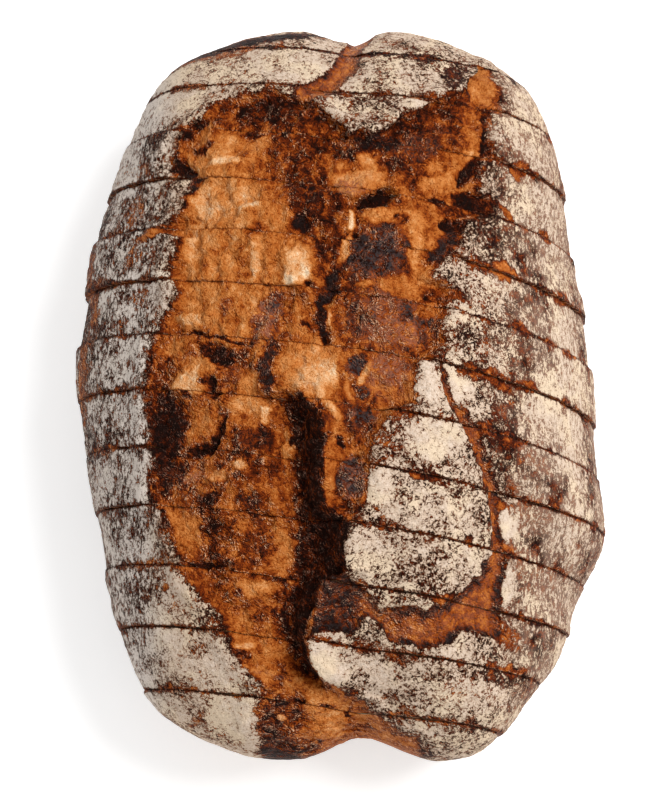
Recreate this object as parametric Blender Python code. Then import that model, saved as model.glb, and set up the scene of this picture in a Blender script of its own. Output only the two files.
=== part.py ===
"""A whole sourdough loaf, machine-cut into twelve slices and two heels that still stand together.

The loaf lies along Y on its flat base, with the end shown nearest at -Y. Its crust is one smooth
rounded form, widest at the belly, with relief worked into it: the burst down its top, the lips and
the ear beside it, the curved second score and the notch at each end. Thirteen upright cuts, turned
a little across the loaf, part that form into its fourteen pieces. Lengths are in millimetres here
and in metres in the model.
"""

import math

import bmesh
import bpy
import numpy as np

MM = 0.001

# Crust form
HEIGHT = 82.0
BELLY_HEIGHT = 35.0
RIGHT_BELLY_HEIGHT = 20.0  # the right flank slopes further out and swells lower down
UNDERSIDE_POLE = 35.0  # how far below its flat base the crust's curve would close
HALF_WIDTH_LEFT = 73.5
HALF_WIDTH_RIGHT = 76.4
RIDGE_X = 3.0
HALF_LENGTH = 109.8
PLAN_POWER = 2.65
SECTION_POWER = 1.94
RIGHT_SECTION_POWER = 1.70
RIGHT_FLANK_START = 48.0  # how far right of the ridge the flank has its own section in full
RIGHT_FLANK_MIDDLE_Y = -15.0
RIGHT_FLANK_REACH = 85.0  # how far along from its middle that section fades out
RIGHT_FLANK_FADE = 40.0
WIDEST_Y_LEFT = 10.0
WIDEST_Y_RIGHT = -21.0

# Swells and dents round the outline: bearing from the middle in degrees, spread, how far out
# where the outline's radius is MEAN_RADIUS
MEAN_RADIUS = 90.0
SWELLS = (
    (118.0, 7.0, 1.8),
    (136.0, 9.0, -2.5),
    (176.0, 12.0, 2.6),
    (212.0, 9.0, -1.7),
    (241.0, 10.0, 2.6),
    (57.0, 9.0, 3.2),
    (28.0, 14.0, -1.7),
    (-28.0, 9.0, 3.1),
    (-43.0, 8.0, -3.6),
    (-58.0, 7.0, -2.2),
    (-70.0, 7.0, 2.2),
)

# Notches where the burst runs over the ends: x, half width, depth
FAR_NOTCH = (3.0, 9.0, 4.5)
NEAR_NOTCH = (8.0, 13.0, 7.0)

# Cuts
SLICES = 12
SLICE_PITCH = 16.0
FIRST_CUT_Y = 96.0
CUT_TURN = 0.131  # slope of the middle cut across the loaf
CUT_TURN_DRIFT = 0.018
CUT_TURN_FALL = 0.027
KERF = 0.4

# How far each piece has slipped sideways along its cuts, far heel first
SLIPS = (-0.4, 0.1, 0.3, -0.6, 0.6, -0.6, 0.6, -0.4, 0.1, -0.1, 0.5, -0.2, 0.2, -0.6)

# The burst's two lips, far end to near end: (y, x)
LEFT_LIP = (
    (85, -12), (79, -27), (74, -39), (63, -49), (54, -45), (41, -47), (32, -42), (19, -44),
    (0, -51), (-18, -52), (-38, -50), (-50, -44), (-63, -40), (-76, -30), (-90, -22), (-105, -26),
)
RIGHT_LIP = (
    (94, 43), (80, 47), (62, 46), (50, 38), (39, 38), (27, 27), (15, 34), (1, 29), (-14, 21),
    (-30, 10), (-44, 6), (-60, 2), (-66, 0), (-76, -8), (-89, -4), (-97, 9), (-104, 22),
)
# The burst's far edge is a V between its two horns: its point, and the slope of its sides
BURST_V_X = 8.0
BURST_V_Y = 62.0
BURST_V_SLOPE = 0.75
BURST_DEPTH = 2.6
BURST_EDGE = 5.0  # how far in from its edge the burst reaches its depth
LIP_RISE = 1.6
LIP_SPREAD = 3.5

# The ear: the crust flap whose edge stands up along the right lip, and the undercut side below it
EAR_FAR_Y = -12.0
EAR_NEAR_Y = -88.0
EAR_FADE = 13.0  # how far in from its ends the ear stands at its full height
EAR_RISE = 3.0
EAR_DROP = 3.6
EAR_SPREAD = 5.0

# The second score: a groove that curls round the floured island, far end to near end: (x, y)
SECOND_SCORE = (
    (28, -2), (34, -18), (41, -36), (45, -54), (42, -68), (30, -77), (18, -75), (8, -70), (-3, -67),
)
# The short score over the far end: (x, y)
FAR_SCORE = ((9, 106), (2, 88), (-9, 76))
SCORE_DEPTH = 2.4
SCORE_SPREAD = 3.2

# The relief fades in up the flanks, from the first height to the second
RELIEF_FROM_Z = 21.0
RELIEF_FULL_Z = 45.5

# Mesh
COLUMNS = 88
TOP_COLUMNS = 66  # columns over the top half, where the relief is
ROWS = 4
HEEL_RINGS = 14
SEARCH_STEPS = 34
SEARCH_REACH = 1.9
SHORTEST_RAY = 12.0  # keeps the relief from stretching a short ray too far
FLAT_SNAP = 0.02

# Look
CRUST_COLOUR = (0.58, 0.40, 0.27, 1.0)
HEEL_COLOUR = (0.55, 0.36, 0.23, 1.0)
CRUST_ROUGHNESS = 0.82


def smooth_step(t):
    t = np.clip(t, 0.0, 1.0)
    return t * t * (3.0 - 2.0 * t)


def bump(distance, spread):
    return np.exp(-((distance / spread) ** 2))


def swelling(x, y):
    """The outline's own unevenness at the bearing of (x, y), as a factor on its radius."""
    bearing = np.degrees(np.arctan2(y, x))
    out = np.zeros_like(bearing)
    for middle, spread, height in SWELLS:
        off = (bearing - middle + 180.0) % 360.0 - 180.0
        out = out + height * bump(off, spread)
    return 1.0 + out / MEAN_RADIUS


def form(x, y, z):
    """Below 1 inside the plain crust form, 1 on it, above 1 outside."""
    factor = swelling(x, y)
    x = x / factor
    y = y / factor
    to_right = smooth_step(0.5 + 0.5 * x / HALF_WIDTH_RIGHT)
    widest = WIDEST_Y_LEFT + (WIDEST_Y_RIGHT - WIDEST_Y_LEFT) * to_right
    far_x, far_spread, far_depth = FAR_NOTCH
    near_x, near_spread, near_depth = NEAR_NOTCH
    far_end = HALF_LENGTH - far_depth * bump(x - far_x, far_spread)
    near_end = HALF_LENGTH - near_depth * bump(x - near_x, near_spread)
    along = np.where(y > widest, (y - widest) / (far_end - widest), (widest - y) / (near_end + widest))
    half_width = np.where(x < RIDGE_X, HALF_WIDTH_LEFT + RIDGE_X, HALF_WIDTH_RIGHT - RIDGE_X)
    across = np.abs((x - RIDGE_X) / half_width)
    plan = (along**PLAN_POWER + across**PLAN_POWER) ** (1.0 / PLAN_POWER)
    from_middle = np.abs(y - RIGHT_FLANK_MIDDLE_Y)
    on_flank = smooth_step((x - RIDGE_X) / RIGHT_FLANK_START)
    on_flank = on_flank * smooth_step((RIGHT_FLANK_REACH - from_middle) / RIGHT_FLANK_FADE)
    belly = BELLY_HEIGHT + (RIGHT_BELLY_HEIGHT - BELLY_HEIGHT) * on_flank
    power = SECTION_POWER + (RIGHT_SECTION_POWER - SECTION_POWER) * on_flank
    above = (z - belly) / (HEIGHT - belly)
    below = (belly - z) / (belly + UNDERSIDE_POLE)
    rise = np.where(z > belly, above, below)
    return (plan**power + np.abs(rise) ** power) ** (1.0 / power)


def distance_to_line(points, x, y):
    """Distance in plan from (x, y) to the line through points."""
    nearest = np.full(np.shape(x), 1e6)
    for (x0, y0), (x1, y1) in zip(points[:-1], points[1:]):
        dx, dy = x1 - x0, y1 - y0
        t = np.clip(((x - x0) * dx + (y - y0) * dy) / (dx * dx + dy * dy), 0.0, 1.0)
        nearest = np.minimum(nearest, np.hypot(x - x0 - t * dx, y - y0 - t * dy))
    return nearest


def lip_x(lip, y):
    far_to_near = np.array(lip, float)[::-1]
    return np.interp(y, far_to_near[:, 0], far_to_near[:, 1])


def relief(x, y, z):
    """How far the crust stands out from the plain form, in millimetres."""
    left = lip_x(LEFT_LIP, y)
    right = lip_x(RIGHT_LIP, y)
    far_edge = BURST_V_Y + BURST_V_SLOPE * np.abs(x - BURST_V_X)
    into = np.minimum(np.minimum(x - left, right - x), far_edge - y)
    height = -BURST_DEPTH * smooth_step((into + 1.0) / BURST_EDGE)
    height = height + LIP_RISE * bump(into + LIP_SPREAD, LIP_SPREAD)

    beside = x - right
    along_ear = smooth_step((EAR_FAR_Y - y) / EAR_FADE) * smooth_step((y - EAR_NEAR_Y) / EAR_FADE)
    ear = EAR_RISE * bump(beside - EAR_SPREAD, EAR_SPREAD)
    ear = ear - EAR_DROP * bump(beside + EAR_SPREAD, EAR_SPREAD)
    height = height + along_ear * ear

    for score in (SECOND_SCORE, FAR_SCORE):
        height = height - SCORE_DEPTH * bump(distance_to_line(score, x, y), SCORE_SPREAD)
    return height * smooth_step((z - RELIEF_FROM_Z) / (RELIEF_FULL_Z - RELIEF_FROM_Z))


def cut_y(cut, x):
    """Where cut number `cut` runs: 0 frees the far heel, SLICES the near one, fractions lie between."""
    middle = SLICES / 2
    u = (cut - middle) / middle
    turn = CUT_TURN + CUT_TURN_DRIFT * u - CUT_TURN_FALL * u * u
    return FIRST_CUT_Y - SLICE_PITCH * cut - x * turn


def crust_points(cut, right, up, out):
    """Points where rays from the middle of a cut meet the crust.

    right, up and out give each ray's direction: along the cut, upwards, and away from the cut
    towards +Y, in shares of the loaf's half width, height and a heel's thickness.
    """
    reach_up = np.where(up > 0.0, HEIGHT - BELLY_HEIGHT, BELLY_HEIGHT)
    heel_reach = HALF_LENGTH - FIRST_CUT_Y

    def at(share):
        x = RIDGE_X + share * right * HALF_WIDTH_RIGHT
        y = cut_y(cut, x) + share * out * heel_reach
        z = BELLY_HEIGHT + share * up * reach_up
        return x, y, z

    low = np.zeros_like(right)
    high = np.full_like(right, SEARCH_REACH)
    for _ in range(SEARCH_STEPS):
        middle = 0.5 * (low + high)
        x, y, z = at(middle)
        inside = (form(x, y, z) < 1.0) & (z > 0.0)
        low = np.where(inside, middle, low)
        high = np.where(inside, high, middle)
    x, y, z = at(low)
    length = np.sqrt((x - RIDGE_X) ** 2 + (z - BELLY_HEIGHT) ** 2)
    stretch = 1.0 + relief(x, y, z) / np.maximum(length, SHORTEST_RAY)
    centre = (np.abs(right) + np.abs(up) + np.abs(out)) < 1e-6
    x, y, z = at(np.where(centre, 0.0, low * stretch))
    return x, y, np.where(z < FLAT_SNAP, 0.0, z)


def column_angle(turn):
    """Spreads a full turn (0 to 1) so that the top half gets TOP_COLUMNS of the COLUMNS."""
    top = TOP_COLUMNS / COLUMNS
    on_top = math.pi * turn / top
    underneath = math.pi + math.pi * (turn - top) / (1.0 - top)
    return np.where(turn <= top, on_top, underneath)


def primitive_columns(points):
    """Each point's own column angle, from its bearing round the primitive's Z axis."""
    turn = np.arctan2(points[:, 1], points[:, 0]) / (2.0 * math.pi) % 1.0
    turn = np.round(turn * COLUMNS) / COLUMNS % 1.0
    return column_angle(turn)


def write_points(mesh, x, y, z, slip):
    for vertex, px, py, pz in zip(mesh.verts, x, y, z):
        vertex.co = ((px + slip) * MM, (py - slip * CUT_TURN) * MM, pz * MM)


def slice_mesh(number):
    """A cylinder whose rim is pushed out to the crust between two cuts."""
    mesh = bmesh.new()
    bmesh.ops.create_cone(
        mesh, cap_ends=True, cap_tris=True, segments=COLUMNS, radius1=1.0, radius2=1.0, depth=1.0
    )
    for row in range(1, ROWS):
        everything = mesh.verts[:] + mesh.edges[:] + mesh.faces[:]
        level = (0.0, 0.0, row / ROWS - 0.5)
        bmesh.ops.bisect_plane(mesh, geom=everything, plane_co=level, plane_no=(0.0, 0.0, 1.0))
    points = np.array([vertex.co for vertex in mesh.verts])
    radius = np.round(np.hypot(points[:, 0], points[:, 1]))
    angle = primitive_columns(points)
    half_gap = 0.5 * KERF / SLICE_PITCH
    share = half_gap + (points[:, 2] + 0.5) * (1.0 - 2.0 * half_gap)
    cut = number - 1 + share
    x, y, z = crust_points(cut, radius * np.cos(angle), radius * np.sin(angle), np.zeros_like(radius))
    write_points(mesh, x, y, z, SLIPS[number])
    return mesh


def heel_mesh(cut, side):
    """A half ball stretched from a cut to the loaf's end, which lies towards side (+1 far, -1 near)."""
    mesh = bmesh.new()
    bmesh.ops.create_uvsphere(mesh, u_segments=COLUMNS, v_segments=HEEL_RINGS, radius=1.0)
    lower = [vertex for vertex in mesh.verts if vertex.co.z < -1e-4]
    bmesh.ops.delete(mesh, geom=lower, context="VERTS")
    rim = [edge for edge in mesh.edges if edge.is_boundary]
    cap = bmesh.ops.holes_fill(mesh, edges=rim, sides=0)["faces"]
    bmesh.ops.poke(mesh, faces=cap)
    points = np.array([vertex.co for vertex in mesh.verts])
    radius = np.hypot(points[:, 0], points[:, 1])
    angle = primitive_columns(points)
    half_gap = 0.5 * KERF / SLICE_PITCH
    x, y, z = crust_points(
        cut - side * half_gap, radius * np.cos(angle), radius * np.sin(angle), side * points[:, 2]
    )
    write_points(mesh, x, y, z, SLIPS[0] if side > 0 else SLIPS[-1])
    return mesh


def crust_material(name, colour):
    material = bpy.data.materials.new(name)
    material.use_nodes = True
    shader = material.node_tree.nodes["Principled BSDF"]
    shader.inputs["Base Color"].default_value = colour
    shader.inputs["Roughness"].default_value = CRUST_ROUGHNESS
    shader.inputs["Metallic"].default_value = 0.0
    material.diffuse_color = colour
    return material


def add_piece(name, mesh, colour, collection):
    mesh.normal_update()
    bmesh.ops.recalc_face_normals(mesh, faces=mesh.faces[:])
    bmesh.ops.triangulate(mesh, faces=mesh.faces[:], quad_method="SHORT_EDGE")
    data = bpy.data.meshes.new(name)
    mesh.to_mesh(data)
    mesh.free()
    data.shade_smooth()
    data.set_sharp_from_angle(angle=math.radians(50.0))
    data.materials.append(crust_material(name + " crust", colour))
    piece = bpy.data.objects.new(name, data)
    collection.objects.link(piece)
    return piece


def centre_over_origin(pieces):
    """Moves the meshes so that the middle of the whole loaf's footprint is at the origin."""
    corners = np.array([vertex.co for piece in pieces for vertex in piece.data.vertices])
    middle = 0.5 * (corners.min(axis=0) + corners.max(axis=0))
    for piece in pieces:
        for vertex in piece.data.vertices:
            vertex.co.x -= middle[0]
            vertex.co.y -= middle[1]
    return middle


def build():
    for thing in list(bpy.data.objects):
        bpy.data.objects.remove(thing, do_unlink=True)
    loaf = bpy.data.collections.new("sourdough_loaf")
    bpy.context.scene.collection.children.link(loaf)
    pieces = [add_piece("heel_far", heel_mesh(0, 1), HEEL_COLOUR, loaf)]
    for number in range(1, SLICES + 1):
        pieces.append(add_piece(f"slice_{number:02d}", slice_mesh(number), CRUST_COLOUR, loaf))
    pieces.append(add_piece("heel_near", heel_mesh(SLICES, -1), HEEL_COLOUR, loaf))
    centre_over_origin(pieces)


build()
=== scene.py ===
"""The looks of a floured sourdough loaf, machine-cut into slices that still stand together.

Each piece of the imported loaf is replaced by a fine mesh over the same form, in its place.
Lengths are in millimetres in the loaf's own frame, where x runs across it, y along it to the far
end and z up from its flat base. Meshes are written in metres.
"""

import math

import bpy
import numpy as np
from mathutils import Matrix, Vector


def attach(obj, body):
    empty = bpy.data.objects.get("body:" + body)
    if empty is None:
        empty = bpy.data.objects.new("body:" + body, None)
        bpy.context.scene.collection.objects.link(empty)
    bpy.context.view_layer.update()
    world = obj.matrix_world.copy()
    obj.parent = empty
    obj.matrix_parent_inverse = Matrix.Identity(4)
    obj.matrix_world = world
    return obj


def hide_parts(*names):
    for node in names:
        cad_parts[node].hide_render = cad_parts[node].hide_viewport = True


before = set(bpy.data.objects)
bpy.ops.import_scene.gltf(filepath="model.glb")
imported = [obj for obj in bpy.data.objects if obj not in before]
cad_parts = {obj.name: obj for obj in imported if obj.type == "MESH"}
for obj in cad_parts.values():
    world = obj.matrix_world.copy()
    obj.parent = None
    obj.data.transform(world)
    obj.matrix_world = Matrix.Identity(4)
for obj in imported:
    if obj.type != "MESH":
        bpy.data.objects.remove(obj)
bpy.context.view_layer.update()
MM = 0.001

# ---- crust form, as the solids have it
HEIGHT = 82
BELLY_HEIGHT = 35
RIGHT_BELLY_HEIGHT = 20
UNDERSIDE_POLE = 35
HALF_WIDTH_LEFT = 73.5
HALF_WIDTH_RIGHT = 76.4
RIDGE_X = 3
HALF_LENGTH = 109.8
PLAN_POWER = 2.65
SECTION_POWER = 1.94
RIGHT_SECTION_POWER = 1.7
RIGHT_FLANK_START = 48
RIGHT_FLANK_MIDDLE_Y = -15
RIGHT_FLANK_REACH = 85
RIGHT_FLANK_FADE = 40
WIDEST_Y_LEFT = 10
WIDEST_Y_RIGHT = -21
MEAN_RADIUS = 90
# Swellings of the outline: bearing and spread in degrees, then how far they stand out
SWELLS = (
    (118, 7, 1.8), (136, 9, -2.5), (176, 12, 2.6), (212, 9, -1.7), (241, 10, 2.6), (57, 9, 3.2),
    (28, 14, -1.7), (-28, 9, 3.1), (-43, 8, -3.6), (-58, 7, -2.2), (-70, 7, 2.2),
)
# End notches: middle x, spread and depth
FAR_NOTCH = (3, 9, 4.5)
NEAR_NOTCH = (8, 13, 7)

SLICES = 12
SLICE_PITCH = 16
FIRST_CUT_Y = 96
CUT_TURN = 0.131
CUT_TURN_DRIFT = 0.018
CUT_TURN_FALL = 0.027
KERF = 0.4
HALF_GAP = 0.5 * KERF / SLICE_PITCH  # in pitches
# How far each piece has slipped sideways, from the far heel to the near one
SLIPS = (-0.4, 0.1, 0.3, -0.6, 0.6, -0.6, 0.6, -0.4, 0.1, -0.1, 0.5, -0.2, 0.2, -0.6)
# The footprint's middle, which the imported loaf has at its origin
LOAF_MIDDLE = (1.306, 0.184)

# ---- mesh fineness
STEP = 0.42
# Arcs that the steps divide: over a slice's top, under it and round a heel
TOP_ARC, UNDER_ARC, HEEL_ARC = 197, 50, 40
TOP_COLUMNS = int(TOP_ARC / STEP)
UNDER_COLUMNS = int(UNDER_ARC / STEP)
COLUMNS = TOP_COLUMNS + UNDER_COLUMNS
EXTRA_ROWS = 4
ROWS = int(SLICE_PITCH / STEP) + EXTRA_ROWS
HEEL_RINGS = int(HEEL_ARC / STEP)
SEARCH_STEPS, SEARCH_REACH = 30, 1.9

# ---- the burst, its lips and scores
# The burst's two lips, far end to near end: (y, x)
LEFT_LIP = (
    (90, -20), (80, -28), (77, -33), (75, -36), (72, -39.5), (69, -43), (66, -44.5), (63, -45.5),
    (59, -47), (56, -47), (53, -44), (49, -42.5), (45, -43), (41, -45), (39, -49), (36, -49),
    (34, -43), (29, -44), (25, -47.5), (21, -45), (18, -45), (15, -46), (12, -48), (8, -50),
    (0, -51), (-8, -52), (-20, -52), (-30, -50), (-34, -51), (-41, -50.5), (-44, -47.5),
    (-50, -44.7), (-57, -42), (-60, -41), (-64, -39.7), (-67, -37), (-70, -34.3), (-73, -32.3),
    (-78, -29.3), (-82, -28.5), (-85, -26), (-88, -23), (-91, -20.5), (-95, -21), (-98, -22),
    (-104, -21),
)
RIGHT_LIP = (
    (94, 42.5), (91, 45), (85, 46), (79, 45.3), (74, 44.3), (70, 43), (66, 42.5), (63, 43),
    (59, 42.5), (58, 41), (54, 39.5), (50, 40), (47, 43), (44, 42), (41, 39), (39, 35), (36, 35),
    (33, 33), (29, 31), (26, 28.7), (23, 26.5), (20, 26), (17, 32), (14, 32), (12, 30.5), (9, 29.7),
    (6, 28), (2, 29), (-2, 25), (-5, 22), (-10, 21.5), (-16, 22), (-18, 15), (-24, 10), (-29, 9),
    (-31, 8), (-44, 7.5), (-46, 5), (-49, 2.5), (-57, 1.5), (-62, 1.8), (-64, -4), (-77, -6),
    (-79, -7.3), (-85, -7), (-88, -4.3), (-91, -0.5), (-93, 3), (-94, 6.8), (-96, 9), (-99, 13),
    (-102, 19), (-106, 24),
)
# The burst's far edge, from horn to horn: (x, y)
FAR_EDGE = (
    (-34, 77.5), (-26, 78.5), (-18, 79), (-10, 76), (-5, 73.5), (-1, 70), (3, 65.5), (9, 64.5),
    (14, 66.5), (17, 70.5), (22, 73), (25, 75), (28, 78), (33, 80), (37, 83), (39.5, 89),
    (41.5, 94),
)

# The ear's wall: its crest and its foot, far end to near end: (y, x)
EAR_CREST = (
    (-12, -9), (-15, -8), (-18, -5), (-22, -3.5), (-30, -3), (-44, -3), (-47, 2.5), (-52, 3),
    (-62, 2), (-66, -3), (-72, -6), (-78, -8), (-84, -7), (-88, -4), (-91, -1),
)
EAR_FOOT = (
    (-12, -16), (-15, -16.5), (-20, -14), (-26, -12.5), (-36, -12), (-56, -12), (-62, -13.5),
    (-68, -16), (-73, -17.5), (-78, -15.5), (-83, -13.5), (-87, -10.5), (-90, -6),
)
EAR_LEAST_WIDTH = 2
# Where the ear starts and ends: y and how softly
EAR_START = (-11, -4)
EAR_END = (-93, 6)

# The bare second score curls round the floured island: its inner and outer edge: (y, x)
SCORE_INNER = (
    (-1, 27.6), (-9.5, 29.2), (-15, 30.4), (-20, 33.5), (-25, 36.3), (-30, 38.3), (-35, 40.2),
    (-44, 42.2), (-51, 42.5), (-55, 41.3), (-57, 39.5), (-60, 39.5), (-63, 36.4), (-66, 33.8),
    (-69, 31),
)
SCORE_OUTER = (
    (-1, 28.8), (-9.5, 31), (-15, 33), (-17, 36.5), (-20, 38.4), (-25, 40.2), (-30, 42),
    (-38, 44.4), (-44, 45), (-51, 45.5), (-56, 46.3), (-61, 46), (-66, 45), (-70, 45), (-73, 46),
)
SCORE_START_Y, SCORE_END_Y = -1, -73
# Below the island it widens into a band: its far and near edge: (x, y)
BAND_FAR = (
    (-9, -62), (2, -63), (7, -65.2), (11.5, -70), (15, -71), (19, -70.3), (24, -70.7), (27, -69),
    (31, -68.3), (34, -66), (38, -68), (42, -69), (46, -73.5),
)
BAND_NEAR = (
    (-9, -79), (-2, -77), (5, -76.4), (6, -74), (8, -73), (10.5, -73.5), (12.5, -76.3),
    (14.5, -79.3), (18, -79.8), (22, -81), (27, -80), (31, -78.6), (34.5, -76.3), (38, -75.5),
    (42, -76.5), (46, -78),
)
BAND_START_X, BAND_END_X = -9, 46
# A third score runs from the far notch to the burst: (x, y)
FAR_SCORE = ((9, 108), (5, 97), (2, 88), (-4, 82), (-12, 76))
FAR_SCORE_HALF_WIDTH = 3.2

# ---- marks seen on the crust
# Each mark is an oval: middle x and y, half length, half width, turn in degrees from +X, then how
# baked the crust is (0 cream, 30 orange, 60 brown, 100 black) and its painted mauve-grey sheen.
# Zones have wide soft edges and give the burst its broad tones. Later marks lie over earlier ones.
# Some marks are painted light: black ones in holes and over a cut's gap are painted shade, black
# ones along the lips and the far edge are char with painted shade, and small pale ones with sheen
# are painted glints.
HALF_WIDE = 3  # the place of the half width in a mark's row
BURST_ZONES = (
    (-33, 58, 11, 12, 0, 36, 0), (-34, 28, 11, 26, 0, 30, 0), (-22, 25, 9, 22, 0, 37, 0),
    (-14, 72, 20, 6.5, 0, 76, 10), (-6, 60, 13, 9, 0, 62, 10), (16, 66, 22, 7, 12, 80, 20),
    (22, 58, 12, 6, 0, 62, 30), (35, 79, 5.5, 9, 0, 72, 10), (41.5, 76, 20, 3.4, 81, 42, 0),
    (34, 55, 7, 9, 0, 46, 0), (-7, 46, 9, 10, 0, 68, 20), (21, 40, 9, 8, 0, 48, 20),
    (12, 27, 9, 9, 0, 76, 70), (-3, 28, 5, 10, 0, 58, 10), (15, 8, 14, 9, 0, 67, 70),
    (-12, 9, 9, 8, 0, 50, 20), (-6, -6, 10, 7, 0, 27, 0), (14, -9, 8, 7, 0, 56, 60),
    (-30, -20, 22, 14, 0, 53, 20), (-40, -38, 14, 11, 0, 62, 30), (-18, -42, 8, 20, 0, 46, 0),
    (-29, -48, 7, 14, 0, 60, 20), (-32, -58, 10, 8, 0, 58, 20), (-24, -66, 9, 6, 0, 50, 0),
    (-22, -80, 8, 12, 0, 54, 0), (-10, -92, 10, 6, 0, 38, 0), (-17, -99, 8, 8, 0, 72, 30),
    (-2, -99, 8, 5, 0, 36, 0), (10, -101, 10, 4, -20, 52, 0), (-20, -108, 14, 4, 0, 92, 10),
    (4, -20, 8, 8, 0, 66, 40), (-49, -20, 5, 15, 0, 90, 20), (-38, -49, 5, 8, 0, 66, 10),
)
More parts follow.
